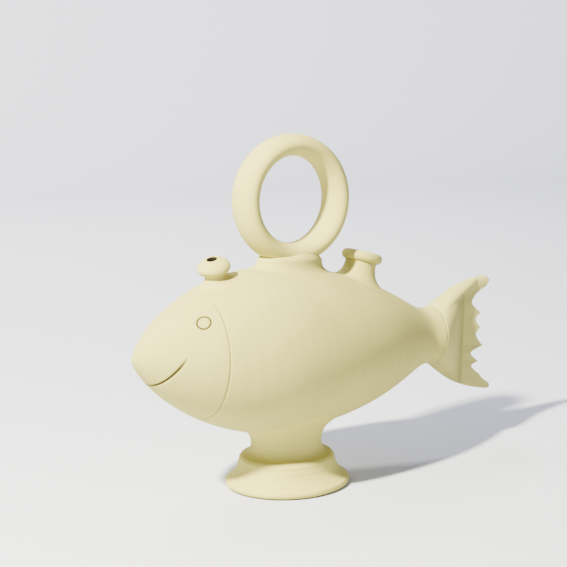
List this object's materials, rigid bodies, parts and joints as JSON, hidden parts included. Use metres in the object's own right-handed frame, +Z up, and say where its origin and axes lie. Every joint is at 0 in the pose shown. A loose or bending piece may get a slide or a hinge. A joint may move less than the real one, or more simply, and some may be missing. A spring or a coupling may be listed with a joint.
{
  "type": "water jug",
  "caption": "Fish-shaped unglazed clay water jug with a ring handle on top, a small drinking spout, a filling neck, a pinched tail fin and a hollow pedestal foot.",
  "frame": {"origin": "on the floor, under the middle of the whole length", "axes": "+X from the nose towards the tail, +Z up, +Y to the far side of the fish"},
  "size_m": [0.3802, 0.1402, 0.3],
  "materials": {
    "body_clay": "matte unglazed",
    "tail_clay": "matte unglazed",
    "handle_clay": "matte unglazed",
    "neck_clay": "matte unglazed",
    "foot_clay": "matte unglazed"
  },
  "bodies": {
    "root": {"body_shell": "body_clay", "tail_fin": "tail_clay", "handle_collar": "handle_clay", "handle_ring": "handle_clay", "filler_neck": "neck_clay", "drinking_spout": "neck_clay", "foot_stem": "foot_clay", "foot_base": "foot_clay"}
  },
  "joints": []
}
